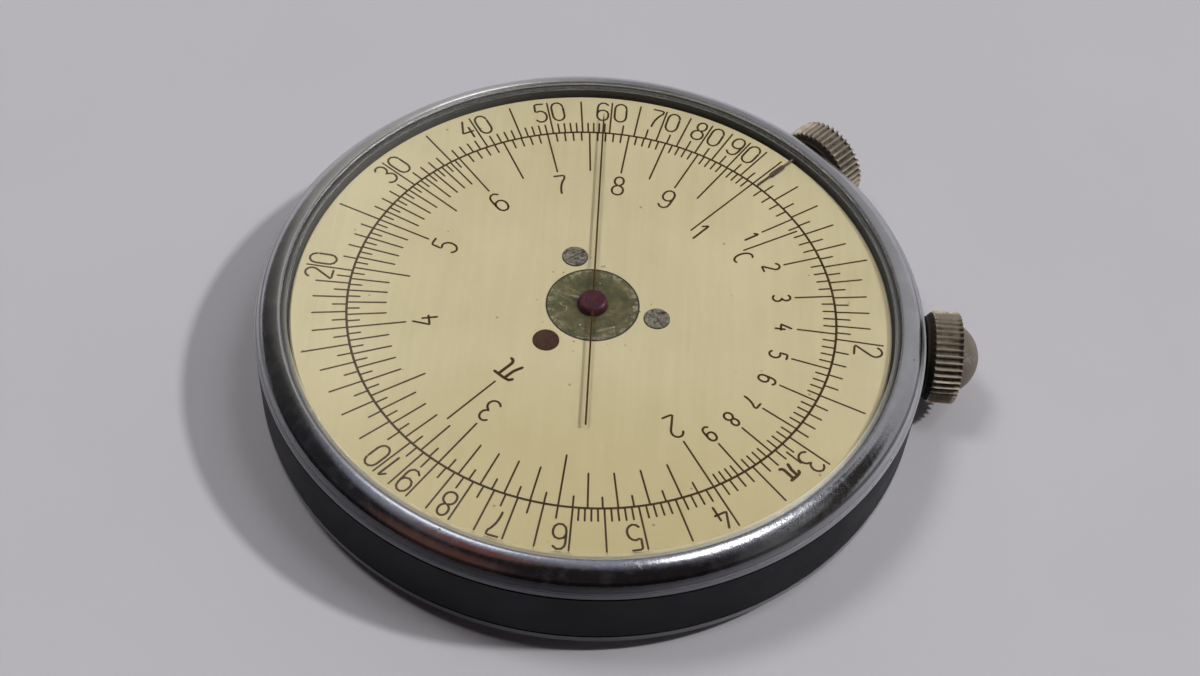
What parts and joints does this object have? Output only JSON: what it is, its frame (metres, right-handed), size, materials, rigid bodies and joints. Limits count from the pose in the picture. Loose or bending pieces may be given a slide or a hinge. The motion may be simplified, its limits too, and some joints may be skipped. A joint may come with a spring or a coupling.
{
  "type": "circular slide rule",
  "caption": "Pocket-watch style circular slide rule: round case with clear crystals, a turning logarithmic dial, needles on both sides and two fluted crowns that drive them.",
  "frame": {"origin": "centre of the back bezel's resting land", "axes": "+Z through the case towards the front dial; +X along the stem of the crown that turns the needles"},
  "size_m": [0.0566, 0.052, 0.0089],
  "materials": {
    "black_band": "satin black",
    "chrome": "polished, lightly scratched",
    "crystal": "clear acrylic",
    "dial_face": "satin cream lacquer with dark engraved lines",
    "brass": "turned brass",
    "steel": "dull steel",
    "hub_green": "olive lacquer",
    "cap_maroon": "maroon lacquer",
    "needle": "dark lacquer",
    "index_brown": "dark brown lacquer",
    "nickel": "worn nickel plate",
    "dark_dot": "black enamel",
    "red_dot": "faded enamel"
  },
  "bodies": {
    "case": {"case_band": "black_band", "front_bezel": "chrome", "front_crystal": "crystal", "back_bezel": "chrome", "back_crystal": "crystal", "index_finger": "index_brown", "base_plate": "brass", "plate_screws": "steel", "centre_bridge": "brass", "bridge_pillars": "brass", "bridge_screws": "steel", "centre_bush": "brass", "arbor_bush": "brass", "dial_stem_tube": "nickel", "hand_stem_tube": "nickel", "dial_stem_bearing": "brass", "hand_stem_bearing": "brass", "bearing_screws": "steel", "back_dial": "dial_face", "back_dial_screws": "steel"},
    "dial": {"front_dial": "dial_face", "dial_hub": "hub_green", "dial_wheel": "brass", "dial_screws": "steel"},
    "hands": {"hand_arbor": "steel", "hand_wheel": "brass", "front_hand": "needle", "front_hand_boss": "cap_maroon", "back_hand": "needle", "back_hand_boss": "cap_maroon"},
    "dial_crown": {"dial_crown_head": "nickel", "dial_crown_dot": "dark_dot", "dial_stem": "steel", "dial_pinion": "brass"},
    "hand_crown": {"hand_crown_head": "nickel", "hand_crown_dot": "red_dot", "hand_stem": "steel", "hand_pinion": "brass"}
  },
  "joints": [
    {"name": "dial_turn", "type": "hinge", "parent": "case", "child": "dial", "pos_m": [0, 0, 0.00446], "axis": [0, 0, 1], "continuous": true},
    {"name": "hands_turn", "type": "hinge", "parent": "case", "child": "hands", "pos_m": [0, 0, 0.00446], "axis": [0, 0, 1], "continuous": true},
    {"name": "dial_crown_turn", "type": "hinge", "parent": "case", "child": "dial_crown", "pos_m": [0.01925, 0.02101, 0.00446], "axis": [0.6756, 0.7373, 0], "continuous": true},
    {"name": "hand_crown_turn", "type": "hinge", "parent": "case", "child": "hand_crown", "pos_m": [0.0285, 0, 0.00446], "axis": [1, 0, 0], "continuous": true}
  ],
  "couplings": [
    {"joint": "dial_crown_turn", "follows": "dial_turn", "ratio": -11.2},
    {"joint": "hand_crown_turn", "follows": "hands_turn", "ratio": 6.4}
  ]
}
